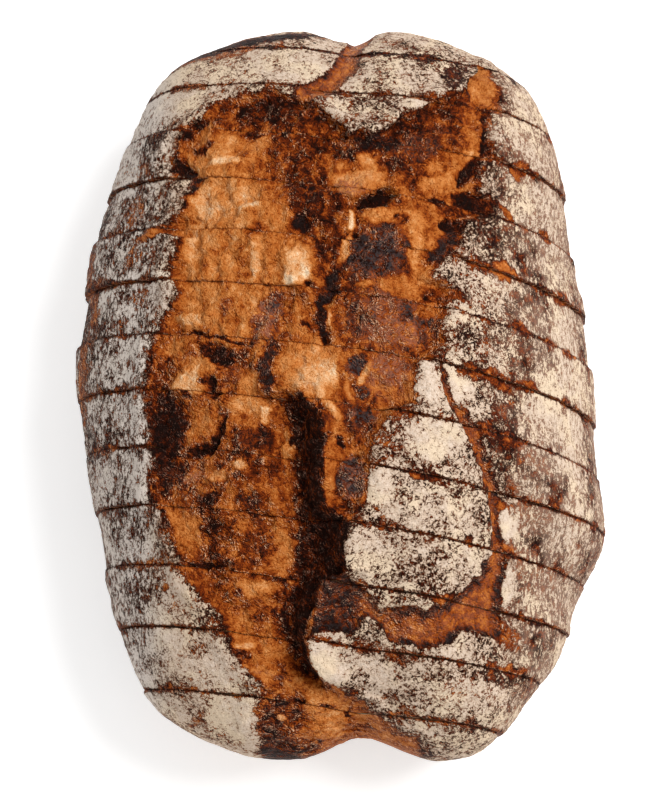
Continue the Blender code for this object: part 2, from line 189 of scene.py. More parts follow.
BURST_MARKS = (
    # far part, under the floured V
    (-24, 65.3, 4.5, 0.8, -3, 86, 20), (-38.5, 61.5, 3.2, 1.1, 12, 84, 0),
    (-33, 57, 4, 1.4, 10, 12, 30), (-44, 68, 5, 2, 32, 86, 0), (-47.5, 62, 5, 1.8, 72, 98, 10),
    (-46, 56, 4, 2.8, 100, 97, 10), (-43.6, 51, 3.6, 2.7, 90, 100, 50),
    (-25.5, 42.5, 2.2, 0.9, 20, 8, 40), (-39, 45, 3, 4, 0, 18, 0), (-34, 47, 4, 6, 0, 27, 0),
    (-28, 74, 3, 2, 20, 88, 10), (-20, 76, 6, 2, 0, 90, 10), (-12, 36.8, 2.4, 2, 0, 100, 40),
    (-5.2, 29, 2, 2.2, 0, 88, 10), (-3.5, 38, 2, 1.8, 0, 84, 10), (-13.5, 48.6, 3, 0.8, 0, 86, 0),
    (-8, 44, 3, 4, 0, 78, 30), (-11, 58, 3.4, 3, 0, 74, 20), (3, 62, 4, 2, 0, 64, 40),
    (14, 63, 7, 2.2, -3, 90, 40), (22, 68, 7, 1.4, -8, 86, 20), (24, 61, 6, 3.5, -10, 70, 50),
    (9.5, 56.5, 2.6, 2, 0, 24, 10), (32, 66, 7, 3, -40, 60, 30), (37.2, 82, 6, 1.6, 72, 76, 10),
    (36, 73, 9, 0.9, 80, 60, 0), (39.6, 91, 2.4, 2, 0, 74, 0), (43, 67, 8, 0.9, 82, 98, 20),
    (39.2, 54.5, 5.5, 1.2, 64, 98, 30), (39.6, 46, 4.4, 2.4, -25, 96, 30),
    (29.5, 50.2, 4, 1.6, 15, 34, 10), (31, 44, 3, 1, -6, 95, 10), (34.5, 42, 4, 1.8, -8, 66, 10),
    (33, 37, 3.2, 2, 0, 98, 30), (30, 30.5, 5.4, 1.8, 58, 95, 60),
    # the slot and the dark blister beside it
    (6, 50.6, 7.5, 2.6, 12, 22, 45), (12, 39.2, 5.5, 1.6, 10, 30, 0),
    (3.6, 37.4, 3.6, 0.9, 94, 4, 10), (3.4, 47.4, 3.6, 2.6, 5, 36, 90),
    (18.6, 38.4, 1.8, 1.6, 0, 74, 20), (6.8, 26, 6.2, 3.4, 72, 97, 70),
    (13.5, 33, 4.5, 2.6, -20, 78, 80), (14, 27, 5.5, 5, 0, 86, 80),
    (4.5, 33.8, 0.9, 0.8, 0, 100, 0), (2.6, 29, 5, 1.1, 78, 20, 10), (22.5, 30, 9, 2, 96, 27, 0),
    # middle
    (-32.5, 13.5, 3.2, 1.8, 60, 60, 50), (-21.5, 9.5, 7.5, 3.6, 76, 70, 80),
    (-21.5, 6.3, 3.6, 1.9, 68, 50, 100), (-11, 6.6, 1.6, 1.1, 0, 85, 0),
    (-11, 24, 6.4, 4, 95, 13, 0), (-13, 19, 1.7, 1.5, 0, 0, 40), (-9.4, 22, 1.4, 2, 0, 2, 40),
    (-7.8, 18.3, 1, 0.7, 25, 100, 0), (-18, 25, 6, 1.6, 88, 44, 0), (-24, 25, 6, 1.4, 85, 16, 10),
    (-2.6, 16.2, 5.6, 2, 52, 99, 50), (-5.2, 7, 5.6, 1.6, 92, 94, 40),
    (-5, 1.6, 1.7, 1.2, 0, 97, 10), (-2.7, 8, 3, 0.3, 95, 10, 60), (5, 7.5, 3, 4.5, 0, 76, 50),
    (8, 18.5, 2.2, 1, 10, 34, 10), (13, 13, 4, 2.2, 20, 60, 90), (12, 5, 4.5, 3, 0, 58, 100),
    (18, 4, 4.5, 3, 0, 48, 90), (19, 17.5, 6, 3, -10, 40, 10), (25.5, 12, 3.5, 3, 0, 46, 10),
    (27, 15, 1.8, 1.1, 0, 86, 0), (30.5, 15.6, 4, 1.6, -15, 62, 20),
    (-42.5, 6.4, 3.4, 0.8, -3, 97, 10), (-32, 3.4, 6, 0.6, -12, 92, 0),
    (-43, 10.5, 3.5, 2, 10, 18, 0),
    # the slice with the torn pockets
    (-34.6, -0.6, 4.6, 2.4, -38, 98, 20), (-38.5, -3.6, 4.6, 1.8, -12, 32, 0),
    (-42, -8.6, 4.2, 3, 8, 12, 20), (-35.9, -8.6, 1.7, 1.3, 80, 100, 0),
    (-38.4, -8.2, 1, 0.9, 0, 86, 0), (-35, -11.4, 2, 0.9, -10, 98, 0),
    (-43.4, -11.5, 1.7, 0.9, -20, 96, 0), (-47.8, -6, 6.5, 2, 86, 64, 20),
    (-46.5, 2.2, 2.6, 1.8, 0, 40, 20), (-20.4, -6, 7.6, 2.9, 86, 94, 50),
    (-26, -2, 3.2, 2.4, 0, 68, 30), (-25.5, -9.5, 3, 3.4, 0, 34, 0), (-30.5, -6.5, 3, 3, 0, 52, 40),
    (-5, -8.6, 5.6, 4.6, 10, 15, 10), (-13, -4.6, 4, 3.6, 0, 33, 0), (1.4, -8, 6, 1.1, 90, 52, 0),
    (5.6, -5.6, 3.4, 2.3, 50, 96, 90), (8.3, -7.8, 3.2, 1.1, 66, 12, 10),
    (7.8, -12.8, 1.7, 1.2, 0, 94, 90), (3, -12, 2.2, 0.8, 90, 28, 20),
    (14.5, -6, 4.8, 4.2, 0, 53, 100), (16, -13, 6.4, 1.6, -5, 42, 40),
    # lower left, beside the ear
    (-48.6, -21.5, 10.5, 3.4, 88, 96, 30), (-40.5, -19, 3.4, 5, 0, 40, 0),
    (-33.4, -16.5, 2.8, 2.2, 90, 68, 20), (-27, -14.8, 4.6, 2.4, 0, 28, 0),
    (-23, -17.6, 2.4, 1.3, 90, 10, 20), (-35, -22.6, 5.4, 1.3, 68, 98, 10),
    (-36.6, -26.6, 2.2, 1.7, 60, 100, 0), (-41.4, -27.5, 2.5, 0.9, 5, 92, 10),
    (-25.4, -25, 4.6, 3.6, 0, 78, 35), (-15.2, -25.4, 4.8, 1.9, 86, 16, 10),
    (-14.7, -26.4, 0.9, 0.8, 0, 92, 0), (-28, -31.6, 1.8, 1.2, 0, 14, 50),
    (-46.5, -33.5, 3, 2.6, 60, 84, 40), (-42.6, -33.4, 2, 1.2, 20, 44, 90),
    (-34.5, -34, 2.6, 1, 10, 24, 40), (-37.5, -40.4, 3.4, 1.4, -5, 90, 20),
    (-31.6, -41, 2.6, 3, 0, 46, 0), (-26, -41, 3.2, 2.4, 0, 76, 40),
    (-28.6, -34.4, 1.4, 1, 0, 86, 20), (-42, -48.5, 2.2, 4.2, 0, 36, 0),
    (-37, -49.5, 6, 1.1, 86, 84, 10), (-35.4, -56.6, 3.6, 2.2, -25, 84, 30),
    (-38.5, -58.5, 4.6, 0.6, 0, 97, 0), (-25.5, -52, 8, 3.2, 88, 66, 30),
    (-14, -48.6, 3.6, 0.7, 5, 62, 10), (-17.2, -62.8, 5.2, 0.5, -14, 90, 0),
    (-29.4, -65.4, 1.5, 1.1, 0, 80, 10), (-25.5, -64, 3.6, 2, 0, 30, 10),
    (-22.6, -71, 3.2, 2.2, 0, 70, 30),
    # near end
    (-27, -79.6, 1.4, 0.8, 30, 20, 60), (-26.8, -82, 1.6, 1, 0, 82, 10),
    (-22, -86.6, 2, 1, 0, 32, 70), (-17.6, -88, 2.6, 1, 0, 62, 50),
    (-23.4, -92, 4.4, 1, -3, 100, 0), (-12, -94, 1.8, 0.7, 5, 100, 0),
    (-5, -94.4, 1.6, 0.6, 0, 98, 0), (3.6, -96.6, 1.6, 0.7, -15, 92, 0),
    (-17, -98.4, 1.1, 0.8, 0, 16, 80), (-17.5, -103.5, 4.6, 2.4, 0, 82, 30),
    (-8.6, -103, 3.4, 2.4, 0, 46, 20), (-6.5, -106, 2.4, 1, 0, 86, 10),
    # beside the ear and below the floured island
    (-1.8, -17.6, 3.4, 1.1, -50, 14, 10), (0, -24, 6, 2.6, 90, 43, 20),
    (0.6, -26.6, 1.6, 0.7, -60, 92, 0), (4.6, -29, 3, 1.4, 0, 42, 10),
    (6.6, -19.4, 3.6, 2.2, -10, 82, 80), (4, -37.6, 6.2, 3.4, 88, 85, 100),
    (-2, -36, 7, 1.3, 90, 43, 10), (3.5, -44.4, 4.5, 1.8, 0, 76, 10),
)

# The open slot in the burst, an oval too, sunk and painted black for the shade inside it
SLOT = (10.8, 44.2, 6.6, 2.4, 22)

# Marks on the floured crust: how much flour covers it there and how baked it is below, to 100
FLOUR_MARKS = (
    # the floured island beside the ear
    (14, -24, 9, 7, -8, 40, 72), (22, -17, 6, 3, -8, 46, 80), (26, -25, 8, 6, 0, 95, 75),
    (25, -11, 6, 3.2, 90, 100, 70), (33, -9, 5, 4, -50, 100, 70), (11, -39, 3.6, 5.4, 0, 98, 75),
    (5, -56, 3.6, 5, 0, 80, 85), (35.4, 5.4, 4.4, 3.4, 60, 42, 92), (33, 10.5, 5, 2.2, 20, 95, 70),
    (19, -61, 5, 3, 10, 55, 90),
    # the floured V at the burst's far edge
    (7, 66.5, 9, 3.6, 0, 50, 84), (24, 75, 8, 2.6, 20, 50, 80), (22, 75, 6, 2, -8, 100, 70),
    (14, 75.5, 5, 2.5, 0, 48, 85),
    # small tears and worn patches on the right
    (52.6, 57, 3.6, 2, -35, 0, 45), (48.6, 45, 3.4, 1.2, -42, 5, 50),
    (47.4, 27, 3.6, 2.2, -25, 0, 42), (36, -3.4, 4.4, 1.2, -22, 12, 62),
    (45.5, -7.8, 4, 1.4, -16, 8, 58), (46, -41, 4.5, 1.2, -8, 5, 48),
    (22, -35.4, 3.2, 1.2, -12, 6, 50), (27, -37, 3, 1, -20, 20, 60),
    (47.6, -53.4, 2.6, 1.2, -10, 5, 50), (55, -28, 6, 3, -30, 50, 60), (54, -42, 6, 5.5, 0, 52, 60),
    (52, -56, 4, 5, 0, 52, 60), (67, -42, 12, 2.5, 86, 70, 50), (58, -62, 7, 5, -60, 50, 60),
    (47, -76.5, 4.4, 2.6, -30, 30, 55), (47.5, -46, 3, 4, 0, 100, 70),
    (46.8, -63, 1.8, 5, -12, 92, 70), (64, 15, 3, 1.6, 60, 30, 50),
    # the left flank
    (-58, 46, 5, 2.4, 60, 42, 68), (-57, 58, 3.4, 1.6, 30, 42, 66), (-57.5, 31, 5, 2.6, 70, 40, 68),
    (-56, 20, 3.5, 2, 70, 45, 60), (-47, 48, 3.4, 5.5, -20, 52, 90), (-48, 31, 3.4, 4, 0, 52, 88),
    (-50, 37, 6, 1.4, 8, 5, 42), (-52, -57, 5, 1.6, 0, 40, 60), (-46.2, -64, 1, 1, 0, 0, 60),
    # the near end, both far corners and the broad wear of the flanks
    (-35, -72, 4, 2.4, 40, 45, 90), (45, -88, 9, 1.6, -6, 35, 80), (14, -99, 5, 1.8, -25, 50, 85),
    (17, -83, 6, 1.6, -4, 30, 75), (7, -80.5, 4, 1.4, 0, 30, 85), (-3, -85, 4, 6, 30, 100, 70),
    (-38, -98, 4, 1.2, 30, 40, 60), (-52, 84, 9, 5, 50, 92, 70), (56, 80, 12, 4, -50, 72, 65),
    (67, 0, 34, 5, 92, 80, 50), (-28, -98, 7, 4.5, 0, 98, 60), (34, -92, 9, 3, 0, 70, 60),
    (52, 69, 6, 4, -40, 65, 60), (-71, 26, 16, 1.6, 94, 12, 62), (-73, 1, 13, 1.6, 88, 12, 62),
    (38, 92, 15, 5, -12, 54, 75), (34, 87, 5, 3, 60, 20, 84), (62, 46, 22, 6, 98, 68, 60),
    (-60, 72, 9, 5, 50, 88, 70), (-45, 78, 7, 4, 30, 85, 80), (60, -8, 10, 6, 80, 84, 60),
    (-62, 60, 5, 8, 0, 80, 70), (-58, -5, 9, 4, 90, 72, 85), (-26, 101, 26, 2.6, 12, 5, 97),
    (-30, 97, 14, 1.5, 8, 35, 60),
)

# How an oval's edge lies, as shares of the oval: its reach, how ragged it is and how wide it is
ZONE_EDGE = (1.5, 0.12, 1.1)
MARK_EDGE = (1.4, 0.3, 0.75)
SLOT_EDGE = (1.22, 0.12, 0.4)


def smooth(t):
    t = np.clip(t, 0, 1)
    return t * t * (3 - 2 * t)


def bump(distance, spread):
    return np.exp(-((distance / spread) ** 2))


def rise(value, step):
    """A soft step. step is where it starts and its width, which is below 0 for a step down."""
    start, width = step
    return smooth((value - start) / width)


def toward(value, goal, share):
    return value + (goal - value) * share


def blend(values, percents, share):
    """Each value taken a share of the way to its goal, which is given in percent."""
    return [toward(value, goal / 100, share) for value, goal in zip(values, percents)]


def swelling(x, y):
    """How much wider the loaf is than its plain outline, on a point's bearing."""
    bearing = np.degrees(np.arctan2(y, x))
    out = np.zeros_like(bearing)
    for middle, spread, height in SWELLS:
        off = (bearing - middle + 180) % 360 - 180
        out = out + height * bump(off, spread)
    return 1 + out / MEAN_RADIUS


def end_length(x, notch):
    """How far from the middle an end of the loaf lies, less its notch."""
    middle, spread, depth = notch
    return HALF_LENGTH - depth * bump(x - middle, spread)


def form(x, y, z):
    """Below 1 inside the plain crust form, 1 on it, above 1 outside."""
    factor = swelling(x, y)
    x = x / factor
    y = y / factor
    to_right = smooth(0.5 + 0.5 * x / HALF_WIDTH_RIGHT)
    widest = WIDEST_Y_LEFT + (WIDEST_Y_RIGHT - WIDEST_Y_LEFT) * to_right
    far_share = (y - widest) / (end_length(x, FAR_NOTCH) - widest)
    near_share = (widest - y) / (end_length(x, NEAR_NOTCH) + widest)
    along = np.where(y > widest, far_share, near_share)
    half_width = np.where(x < RIDGE_X, HALF_WIDTH_LEFT + RIDGE_X, HALF_WIDTH_RIGHT - RIDGE_X)
    across = np.abs((x - RIDGE_X) / half_width)
    plan = (along**PLAN_POWER + across**PLAN_POWER) ** (1 / PLAN_POWER)
    from_middle = np.abs(y - RIGHT_FLANK_MIDDLE_Y)
    on_flank = smooth((x - RIDGE_X) / RIGHT_FLANK_START)
    on_flank = on_flank * smooth((RIGHT_FLANK_REACH - from_middle) / RIGHT_FLANK_FADE)
    belly = BELLY_HEIGHT + (RIGHT_BELLY_HEIGHT - BELLY_HEIGHT) * on_flank
    power = SECTION_POWER + (RIGHT_SECTION_POWER - SECTION_POWER) * on_flank
    above = (z - belly) / (HEIGHT - belly)
    below = (belly - z) / (belly + UNDERSIDE_POLE)
    level = np.where(z > belly, above, below)
    return (plan**power + np.abs(level) ** power) ** (1 / power)


def cut_y(cut, x):
    """Where cut number `cut` runs. Fractions lie between cuts."""
    middle = SLICES / 2
    u = (cut - middle) / middle
    turn = CUT_TURN + CUT_TURN_DRIFT * u - CUT_TURN_FALL * u * u
    return FIRST_CUT_Y - SLICE_PITCH * cut - x * turn


def ray_points(cut, right, up, out, share):
    """Points on rays from a cut's middle, a share of the loaf's reach away."""
    reach_up = np.where(up > 0, HEIGHT - BELLY_HEIGHT, BELLY_HEIGHT)
    x = RIDGE_X + share * right * HALF_WIDTH_RIGHT
    y = cut_y(cut, x) + share * out * (HALF_LENGTH - FIRST_CUT_Y)
    z = BELLY_HEIGHT + share * up * reach_up
    return x, y, z


def crust_share(cut, right, up, out):
    """How far along each ray from a cut's middle the plain crust lies."""
    low = np.zeros_like(right)
    high = np.full_like(right, SEARCH_REACH)
    for _ in range(SEARCH_STEPS):
        middle = 0.5 * (low + high)
        x, y, z = ray_points(cut, right, up, out, middle)
        inside = (form(x, y, z) < 1) & (z > 0)
        low = np.where(inside, middle, low)
        high = np.where(inside, high, middle)
    return low


# ---- noise
# Numbers that scatter the points of a lattice over repeatable random values
SCATTER = (73856093, 19349663, 83492791, 40503)
FIRST_STIR, SECOND_STIR = 1274126177, 668265263
OCTAVE_STRENGTH = 0.55

# Clouds of noise: size of the largest grains, octaves and seed
SHAKE_X = (3.6, 4, 11)
SHAKE_Y = (3.6, 4, 21)
ROLLING = (9, 3, 31)
FINE_RELIEF = (2.2, 3, 41)
PIMPLES = (0.9, 1, 51)
LOOSE_CUTS = (4, 3, 61)
RAGGED = (1.8, 2, 71)
BROAD = (11, 3, 81)
CUT_MARGINS = (6, 3, 91)
STRANDS = (2.2, 3, 101)
STRAND_STRETCH = (1, 0.3, 1)
FLOUR_PATCHES = (4, 2, 111)


def lattice(i, j, k, seed):
    """A repeatable random value from -1 to 1 for a point with whole coordinates."""
    a, b, c, d = SCATTER
    value = (i * a) ^ (j * b) ^ (k * c) ^ (seed * d)
    value = ((value ^ (value >> 13)) * FIRST_STIR) & 0x7FFFFFFF
    value = (value ^ (value >> 15)) * SECOND_STIR
    return ((value >> 8) & 0xFFFF) / 32767.5 - 1


def noise(p, scale, seed):
    """Smooth random values from -1 to 1 with grains about `scale` across."""
    q = p / scale
    base = np.floor(q).astype(np.int64)
    f = q - base
    f = f * f * (3 - 2 * f)
    shares = (1 - f, f)
    i, j, k = np.moveaxis(base, -1, 0)
    out = 0
    for a, b, c in np.ndindex(2, 2, 2):
        share = shares[a][..., 0] * shares[b][..., 1] * shares[c][..., 2]
        out = out + share * lattice(i + a, j + b, k + c, seed)
    return out


def cloud(p, scale, octaves, seed):
    """Noise with finer, weaker noise on it, each octave of half the grain of the last."""
    out = 0
    strength = 1
    for octave in range(octaves):
        out = out + strength * noise(p, scale * 0.5**octave, seed + octave)
        strength *= OCTAVE_STRENGTH
    return out


# ---- places on the crust
SHAKE_X_BY, SHAKE_Y_BY = 0.8, 0.9
LIP_FADE = 1.2
LOOSE_SHARE, LOOSE_VARIES = 0.3, 0.9
# Where the loaf's top starts and how softly, as shares of the belly's height
TOP_START, TOP_FADE = 0.6, 0.7


def line_distance(points, x, y):
    """Distance to a bent line."""
    nearest = np.full(np.shape(x), np.inf)
    for (x0, y0), (x1, y1) in zip(points[:-1], points[1:]):
        dx, dy = x1 - x0, y1 - y0
        t = np.clip(((x - x0) * dx + (y - y0) * dy) / (dx * dx + dy * dy), 0, 1)
        nearest = np.minimum(nearest, np.hypot(x - x0 - t * dx, y - y0 - t * dy))
    return nearest


def line_at(line, places):
    """The second coordinate of a bent line at places along the first."""
    points = np.array(sorted(line), float)
    return np.interp(places, points[:, 0], points[:, 1])


def in_oval(shape, x, y, ragged, edge=MARK_EDGE):
    """1 inside an oval, 0 outside it, with a torn edge."""
    reach, raggedness, width = edge
    middle_x, middle_y, half_long, half_wide, turn = shape
    c, s = math.cos(math.radians(turn)), math.sin(math.radians(turn))
    u = ((x - middle_x) * c + (y - middle_y) * s) / half_long
    v = ((y - middle_y) * c - (x - middle_x) * s) / half_wide
    return smooth((reach - np.hypot(u, v) + raggedness * ragged) / width)


def into_scores(x, y):
    """How far inside the nearest edge of the bare scores a point lies."""
    score = np.minimum(x - line_at(SCORE_INNER, y), line_at(SCORE_OUTER, y) - x)
    score = np.minimum(score, np.minimum(SCORE_START_Y - y, y - SCORE_END_Y))
    band = np.minimum(line_at(BAND_FAR, x) - y, y - line_at(BAND_NEAR, x))
    band = np.minimum(band, np.minimum(x - BAND_START_X, BAND_END_X - x))
    far = FAR_SCORE_HALF_WIDTH - line_distance(FAR_SCORE, x, y)
    return np.maximum(np.maximum(score, band), far)


class Place:
    """Where points of the crust lie against the burst, its ear, the scores and the cuts.

    x and y are shaken a little, so that every edge comes out ragged. up_wall runs from 0 at the
    foot of the ear's wall to 1 at its crest, and loose from 0 at tight cuts to 1 at torn ones.
    """

    def __init__(self, p, from_cut):
        self.p = p
        self.x = x = p[..., 0] + SHAKE_X_BY * cloud(p, *SHAKE_X)
        self.y = y = p[..., 1] + SHAKE_Y_BY * cloud(p, *SHAKE_Y)
        self.z = p[..., 2]
        self.from_cut = from_cut
        from_lips = np.minimum(x - line_at(LEFT_LIP, y), line_at(RIGHT_LIP, y) - x)
        self.into_burst = np.minimum(from_lips, line_at(FAR_EDGE, x) - y)
        self.burst = smooth(0.5 + self.into_burst / LIP_FADE)
        self.crest = line_at(EAR_CREST, y)
        self.foot = line_at(EAR_FOOT, y)
        self.up_wall = (x - self.foot) / np.maximum(self.crest - self.foot, EAR_LEAST_WIDTH)
        self.along_ear = rise(y, EAR_START) * rise(y, EAR_END)
        self.into_scores = into_scores(x, y)
        self.loose = smooth(LOOSE_SHARE + LOOSE_VARIES * cloud(p, *LOOSE_CUTS))
        self.ragged = cloud(p, *RAGGED)
        self.broad = cloud(p, *BROAD)
        self.strands = cloud(p * np.array(STRAND_STRETCH), *STRANDS)
        self.top = smooth((self.z - TOP_START * BELLY_HEIGHT) / (TOP_FADE * BELLY_HEIGHT))


# ---- shape of the crust
BURST_DEPTH = 2.6
BURST_SLOPE = (-1, 4)
BURST_EDGE = (-0.6, 1.6)
BURST_FINE = 0.45
LIP_RISE, LIP_MIDDLE, LIP_SPREAD = 1.4, 2.6, 2.6

EAR_REACH = 14
EAR_DROP = 4.4
EAR_OVER_BURST = 1.6
EAR_BACK_SLOPE = 5
BELOW_EAR_SLOPE = 0.5

SCORE_DEPTH, SCORE_SLOPE, SCORE_EDGE_SHARE = 1.8, 3, 0.3
SLOT_DEPTH = 3.2

# Marks that sink or rise: the blackest narrow ones sink as pits, cream ones rise as bubbles and the
# ones with most sheen rise as blisters
PIT_TONE, PIT_HALF_WIDTH, PIT_DEPTH = 97, 3, 1.3
CREAM_TONE, CREAM_RISE = 20, 0.5
BLISTER_SHEEN, BLISTER_RISE = 90, 0.7

CRUST_ROLLING, CRUST_FINE, CRUST_PIMPLES = 0.45, 0.16, 0.1

# How far the crust falls in beside tight and torn cuts, and how much less it does in the burst
TIGHT_FALL, TORN_FALL = 0.06, 0.34
BURST_FALL_LESS = 0.8
FALL_REACH = 0.45
# How far a cut's edge stands out of its face
EDGE_OUT, EDGE_OUT_BURST = 0.13, 0.05
EDGE_BACK_TORN, EDGE_BACK_BURST = 0.2, 0.18
EDGE_REACH = 0.6


def relief(at):
    """How far the crust stands out from the plain form."""
    x, y, into, up_wall = at.x, at.y, at.into_burst, at.up_wall
    in_burst = rise(into, BURST_EDGE)
    rolling = cloud(at.p, *ROLLING)
    fine = cloud(at.p, *FINE_RELIEF)
    height = -BURST_DEPTH * rise(into, BURST_SLOPE)
    height += LIP_RISE * bump(into + LIP_MIDDLE, LIP_SPREAD)
    height += in_burst * (rolling + BURST_FINE * fine)

    wall = at.along_ear * (x < at.crest + EAR_REACH)
    below_wall = smooth(1 + BELOW_EAR_SLOPE * up_wall)
    height -= wall * EAR_DROP * np.where(up_wall <= 0, below_wall, 1 - smooth(up_wall))
    ear = wall * (BURST_DEPTH + EAR_OVER_BURST) * smooth(up_wall)
    height += ear * np.exp(-np.maximum(x - at.crest, 0) / EAR_BACK_SLOPE)

    height -= SCORE_DEPTH * smooth(SCORE_EDGE_SHARE + at.into_scores / SCORE_SLOPE)
    for *shape, tone, sheen in BURST_MARKS:
        if tone >= PIT_TONE and shape[HALF_WIDE] < PIT_HALF_WIDTH:
            height -= PIT_DEPTH * in_oval(shape, x, y, fine)
        elif tone < CREAM_TONE:
            height += CREAM_RISE * in_oval(shape, x, y, fine)
        elif sheen >= BLISTER_SHEEN:
            height += BLISTER_RISE * in_oval(shape, x, y, fine)
    height -= SLOT_DEPTH * in_oval(SLOT, x, y, fine, SLOT_EDGE)
    height *= at.top

    height += CRUST_ROLLING * rolling
    height += CRUST_FINE * fine
    height += CRUST_PIMPLES * cloud(at.p, *PIMPLES)
    torn = (TIGHT_FALL + TORN_FALL * at.loose) * (1 - BURST_FALL_LESS * in_burst)
    return height - torn * np.exp(-at.from_cut / FALL_REACH)


def edge_shift(at):
    """How far a cut's edge stands out of its face, which is less where it is torn."""
    back = at.loose * (EDGE_BACK_TORN - EDGE_BACK_BURST * at.burst)
    return EDGE_OUT + EDGE_OUT_BURST * at.burst - back


# ---- paint of the crust
BURST_PAINT = (0.52, 0.12)
BURST_TOP = 0.02
TONE_BROAD, TONE_RAGGED, TONE_STRANDS = 0.1, 0.05, 0.1
MARK_STRENGTH, MARK_STRANDS = 0.9, 0.8

# The ear's wall: how its paint ends at its foot and its crest, its tones, dark as char and with
# painted shade, and the painted shadow at its foot
WALL_FOOT, WALL_FOOT_RAGGED = (-0.35, 0.5), 0.2
WALL_CREST, WALL_CREST_RAGGED = (0, 1.2), 0.8
WALL_TONE, WALL_DARKER, WALL_DARK, WALL_SHEEN = 0.9, 0.1, (0.1, 0.4), 0.2
SHADOW, SHADOW_TONE, SHADOW_SHARE = (-5, 5), 0.72, 0.8

FLOUR_LEVEL, FLOUR_BROAD, FLOUR_PATCHY = 0.6, 0.22, 0.16
FLOUR_ENDS, ENDS = 0.12, (70, 20)
RIGHT_LESS, RIGHT_SIDE = 0.11, (36, 10)
# Flour thins towards the burst over a width, which is more on the island below a y
LIP_LESS, LIP_WIDTH, ISLAND_LIP_WIDTH, ISLAND_LIP_Y = 0.34, 1.6, 5, 20
ISLAND = (48, -8)
LEFT_SIDE = (-44, -8)
UNDER_TONE, UNDER_ISLAND, UNDER_LEFT, UNDER_VARIES = 0.75, 0.12, 0.12, 0.1

SCORE_RAGGED, SCORE_FADE, SCORE_SHEEN = 0.35, 0.9, 0.5
# A score is dark at its edges, more widely in the band, and lighter inside
SCORE_EDGE_TONE, SCORE_LIGHTER, SCORE_STRANDS = 0.86, 0.34, 0.08
SCORE_SHAKEN, SCORE_DARK_WIDTH, BAND_DARK_WIDER, BAND_Y = 0.4, 1.5, 0.8, -56
# The band is dark along the floured island, from this x and y on, and at its left end
BORDER_TONE, BORDER_RAGGED, BORDER_SHARE, BORDER_WIDTH = 0.88, 0.6, 1.3, 3.4
BORDER_X, BORDER_Y = (13, 5), (-55, -4)
BAND_LEFT_DARKER, BAND_LEFT_X, BAND_LEFT_BROAD, BAND_LEFT_Y = 0.3, (10, -9), 4, -58

# The bare margins of the cuts: their width, how much wider they can be, and right of an x
MARGIN, MARGIN_WIDER, MARGIN_RIGHT, MARGIN_RIGHT_X = 0.7, 2.2, 1, 5
MARGIN_SHARE, MARGIN_VARIES, MARGIN_REACH, MARGIN_LESS = 0.3, 0.8, 1.15, 0.8
CUT_TONE, CUT_LEFT, CUT_RAGGED = 0.64, 0.14, 0.16
CUT_FAR_END, FAR_END = 0.26, (82, 6)
# Right at a cut's edge the crust is painted darker, more where floured: painted shade of the gap
# between slices
CUT_EDGE_TONE, CUT_EDGE_REACH, CUT_EDGE_WIDTH = 0.84, 1.2, 0.6
CUT_EDGE_FLOURED, CUT_EDGE_BARE = 0.75, 0.55

# Flour thins down the flanks, and the underside has a little
LOW_LESS, LOW = 0.35, (24, -20)
UNDERSIDE, UNDERSIDE_FLOUR = 1, 0.35


def burst_paint(at):
    """Tone and sheen of the burst: its zones, its marks, the slot, painted black for its shade, and
    the ear's wall, dark as char and with painted shade, with a painted shadow at its foot.
    """
    x, y, along_ear, up_wall = at.x, at.y, at.along_ear, at.up_wall
    ragged, broad, strands = at.ragged, at.broad, at.strands
    look = BURST_PAINT
    for *shape, tone, sheen in BURST_ZONES:
        look = blend(look, (tone, sheen), in_oval(shape, x, y, broad, ZONE_EDGE))
    look[0] += TONE_BROAD * broad
    look[0] += TONE_RAGGED * ragged
    look[0] += TONE_STRANDS * strands
    torn = ragged + MARK_STRANDS * strands
    for *shape, tone, sheen in BURST_MARKS:
        look = blend(look, (tone, sheen), MARK_STRENGTH * in_oval(shape, x, y, torn))
    # painted shade: the open slot is painted black
    slot = in_oval(SLOT, x, y, ragged, SLOT_EDGE)
    tone = toward(look[0], 1, slot)
    sheen = look[1] * (1 - slot)

    # the ear's wall, painted dark as char and with painted shade, as it faces away from the light
    wall = along_ear * rise(up_wall + WALL_FOOT_RAGGED * ragged, WALL_FOOT)
    wall *= rise(at.crest - x + WALL_CREST_RAGGED * ragged, WALL_CREST)
    # painted shadow on the burst at the foot of the ear's wall
    shadow = along_ear * rise(x - at.foot + ragged, SHADOW)
    shadow *= SHADOW_SHARE * (x < at.crest) * (tone < SHADOW_TONE)
    tone = toward(tone, SHADOW_TONE, shadow)
    tone = toward(tone, WALL_TONE + WALL_DARKER * rise(up_wall, WALL_DARK), wall)
    return tone, toward(sheen, WALL_SHEEN, wall)


def flour_paint(at, left_side):
    """How thick the flour lies, and the tone of the crust under it."""
    x, y, ragged, broad = at.x, at.y, at.ragged, at.broad
    flour = FLOUR_LEVEL + FLOUR_BROAD * broad + FLOUR_PATCHY * cloud(at.p, *FLOUR_PATCHES)
    flour += FLOUR_ENDS * rise(np.abs(y), ENDS)
    flour -= RIGHT_LESS * rise(x, RIGHT_SIDE)
    lip_width = np.where((x > 0) & (y < ISLAND_LIP_Y), ISLAND_LIP_WIDTH, LIP_WIDTH)
    flour -= LIP_LESS * smooth(1 + at.into_burst / lip_width) * at.top
    under = UNDER_TONE + UNDER_ISLAND * rise(x, ISLAND) * (x > 0) * (y < 0)
    under += UNDER_LEFT * left_side
    under += UNDER_VARIES * ragged
    under -= UNDER_VARIES * broad
    look = (flour, under)
    for *shape, mark_flour, mark_tone in FLOUR_MARKS:
        share = in_oval(shape, x, y, ragged) * at.top
        look = blend(look, (mark_flour, mark_tone), share)
    return look


